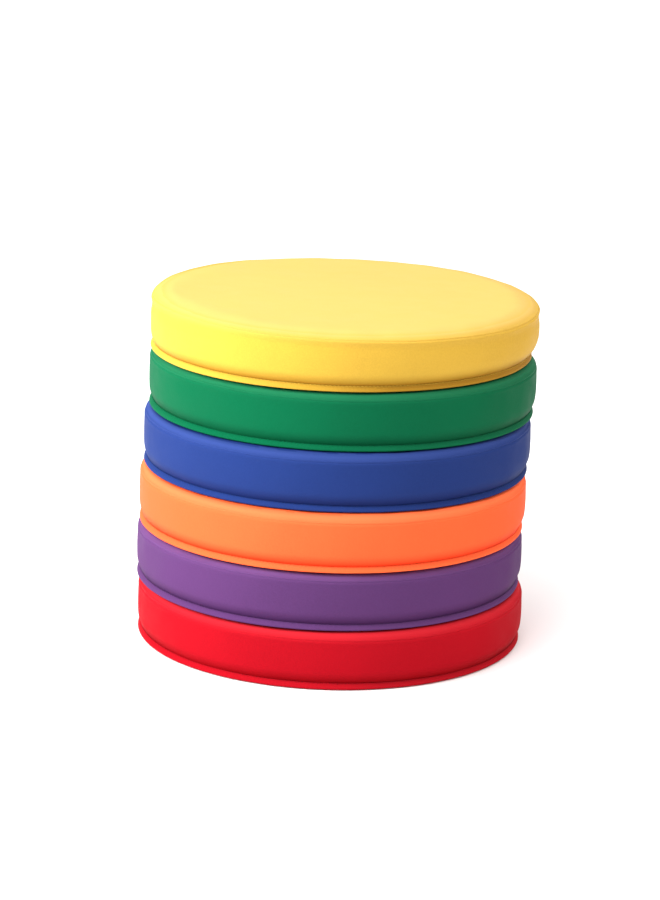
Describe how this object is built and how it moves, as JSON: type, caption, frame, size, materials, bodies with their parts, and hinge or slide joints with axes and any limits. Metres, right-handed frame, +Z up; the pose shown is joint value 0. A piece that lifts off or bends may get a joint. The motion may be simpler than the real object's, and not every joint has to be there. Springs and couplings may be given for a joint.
{
  "type": "floor cushion stack",
  "caption": "Stack of round boxed floor cushions with wipe-clean covers, foam cores, bound bottom edges and rear zips, which lift off one by one.",
  "frame": {"origin": "on the floor, under the middle of the whole stack's footprint", "axes": "+Z up, -Y towards the front of the stack; the zips are at the rear, towards +Y"},
  "size_m": [0.3676, 0.3898, 0.314],
  "materials": {
    "red_vinyl": "satin",
    "red_zip_tape": "matte",
    "purple_vinyl": "satin",
    "purple_zip_tape": "matte",
    "orange_vinyl": "satin",
    "orange_zip_tape": "matte",
    "blue_vinyl": "satin",
    "blue_zip_tape": "matte",
    "green_vinyl": "satin",
    "green_zip_tape": "matte",
    "yellow_vinyl": "satin",
    "yellow_zip_tape": "matte",
    "foam": "matte",
    "zip_metal": "satin"
  },
  "bodies": {
    "red_cushion": {"red_top_panel": "red_vinyl", "red_side_band": "red_vinyl", "red_upper_zip_band": "red_vinyl", "red_lower_zip_band": "red_vinyl", "red_bottom_panel": "red_vinyl", "red_edge_binding": "red_vinyl", "red_zip_tape": "red_zip_tape", "red_foam_core": "foam"},
    "red_slider": {"red_zip_slider": "zip_metal"},
    "red_pull": {"red_zip_pull": "zip_metal"},
    "purple_cushion": {"purple_top_panel": "purple_vinyl", "purple_side_band": "purple_vinyl", "purple_upper_zip_band": "purple_vinyl", "purple_lower_zip_band": "purple_vinyl", "purple_bottom_panel": "purple_vinyl", "purple_edge_binding": "purple_vinyl", "purple_zip_tape": "purple_zip_tape", "purple_foam_core": "foam"},
    "purple_slider": {"purple_zip_slider": "zip_metal"},
    "purple_pull": {"purple_zip_pull": "zip_metal"},
    "orange_cushion": {"orange_top_panel": "orange_vinyl", "orange_side_band": "orange_vinyl", "orange_upper_zip_band": "orange_vinyl", "orange_lower_zip_band": "orange_vinyl", "orange_bottom_panel": "orange_vinyl", "orange_edge_binding": "orange_vinyl", "orange_zip_tape": "orange_zip_tape", "orange_foam_core": "foam"},
    "orange_slider": {"orange_zip_slider": "zip_metal"},
    "orange_pull": {"orange_zip_pull": "zip_metal"},
    "blue_cushion": {"blue_top_panel": "blue_vinyl", "blue_side_band": "blue_vinyl", "blue_upper_zip_band": "blue_vinyl", "blue_lower_zip_band": "blue_vinyl", "blue_bottom_panel": "blue_vinyl", "blue_edge_binding": "blue_vinyl", "blue_zip_tape": "blue_zip_tape", "blue_foam_core": "foam"},
    "blue_slider": {"blue_zip_slider": "zip_metal"},
    "blue_pull": {"blue_zip_pull": "zip_metal"},
    "green_cushion": {"green_top_panel": "green_vinyl", "green_side_band": "green_vinyl", "green_upper_zip_band": "green_vinyl", "green_lower_zip_band": "green_vinyl", "green_bottom_panel": "green_vinyl", "green_edge_binding": "green_vinyl", "green_zip_tape": "green_zip_tape", "green_foam_core": "foam"},
    "green_slider": {"green_zip_slider": "zip_metal"},
    "green_pull": {"green_zip_pull": "zip_metal"},
    "yellow_cushion": {"yellow_top_panel": "yellow_vinyl", "yellow_side_band": "yellow_vinyl", "yellow_upper_zip_band": "yellow_vinyl", "yellow_lower_zip_band": "yellow_vinyl", "yellow_bottom_panel": "yellow_vinyl", "yellow_edge_binding": "yellow_vinyl", "yellow_zip_tape": "yellow_zip_tape", "yellow_foam_core": "foam"},
    "yellow_slider": {"yellow_zip_slider": "zip_metal"},
    "yellow_pull": {"yellow_zip_pull": "zip_metal"}
  },
  "joints": [
    {"name": "red_zip_run", "type": "hinge", "parent": "red_cushion", "child": "red_slider", "pos_m": [-0.002, -0.015, 0.02535], "axis": [0, 0, -1], "range_deg": [0, 110]},
    {"name": "red_pull_swing", "type": "hinge", "parent": "red_slider", "child": "red_pull", "pos_m": [-0.15207, 0.09008, 0.02535], "axis": [0, 0, 1], "range_deg": [0, 175]},
    {"name": "purple_lift", "type": "slide", "parent": "red_cushion", "child": "purple_cushion", "axis": [0, 0, 1], "range_m": [0, 0.12]},
    {"name": "purple_zip_run", "type": "hinge", "parent": "purple_cushion", "child": "purple_slider", "pos_m": [-0.004, -0.009, 0.07775], "axis": [0, 0, -1], "range_deg": [0, 110]},
    {"name": "purple_pull_swing", "type": "hinge", "parent": "purple_slider", "child": "purple_pull", "pos_m": [-0.17004, 0.06842, 0.07775], "axis": [0, 0, 1], "range_deg": [0, 175]},
    {"name": "orange_lift", "type": "slide", "parent": "purple_cushion", "child": "orange_cushion", "axis": [0, 0, 1], "range_m": [0, 0.12]},
    {"name": "orange_zip_run", "type": "hinge", "parent": "orange_cushion", "child": "orange_slider", "pos_m": [-0.0025, -0.0075, 0.13015], "axis": [0, 0, -1], "range_deg": [0, 110]},
    {"name": "orange_pull_swing", "type": "hinge", "parent": "orange_slider", "child": "orange_pull", "pos_m": [-0.13204, 0.12204, 0.13015], "axis": [0, 0, 1], "range_deg": [0, 175]},
    {"name": "blue_lift", "type": "slide", "parent": "orange_cushion", "child": "blue_cushion", "axis": [0, 0, 1], "range_m": [0, 0.12]},
    {"name": "blue_zip_run", "type": "hinge", "parent": "blue_cushion", "child": "blue_slider", "pos_m": [0, 0.003, 0.18255], "axis": [0, 0, -1], "range_deg": [0, 110]},
    {"name": "blue_pull_swing", "type": "hinge", "parent": "blue_slider", "child": "blue_pull", "pos_m": [-0.15007, 0.10808, 0.18255], "axis": [0, 0, 1], "range_deg": [0, 175]},
    {"name": "green_lift", "type": "slide", "parent": "blue_cushion", "child": "green_cushion", "axis": [0, 0, 1], "range_m": [0, 0.12]},
    {"name": "green_zip_run", "type": "hinge", "parent": "green_cushion", "child": "green_slider", "pos_m": [0.0035, 0.013, 0.23495], "axis": [0, 0, -1], "range_deg": [0, 110]},
    {"name": "green_pull_swing", "type": "hinge", "parent": "green_slider", "child": "green_pull", "pos_m": [-0.16254, 0.09042, 0.23495], "axis": [0, 0, 1], "range_deg": [0, 175]},
    {"name": "yellow_lift", "type": "slide", "parent": "green_cushion", "child": "yellow_cushion", "axis": [0, 0, 1], "range_m": [0, 0.12]},
    {"name": "yellow_zip_run", "type": "hinge", "parent": "yellow_cushion", "child": "yellow_slider", "pos_m": [0.004, 0.015, 0.28735], "axis": [0, 0, -1], "range_deg": [0, 110]},
    {"name": "yellow_pull_swing", "type": "hinge", "parent": "yellow_slider", "child": "yellow_pull", "pos_m": [-0.12554, 0.14454, 0.28735], "axis": [0, 0, 1], "range_deg": [0, 175]}
  ]
}
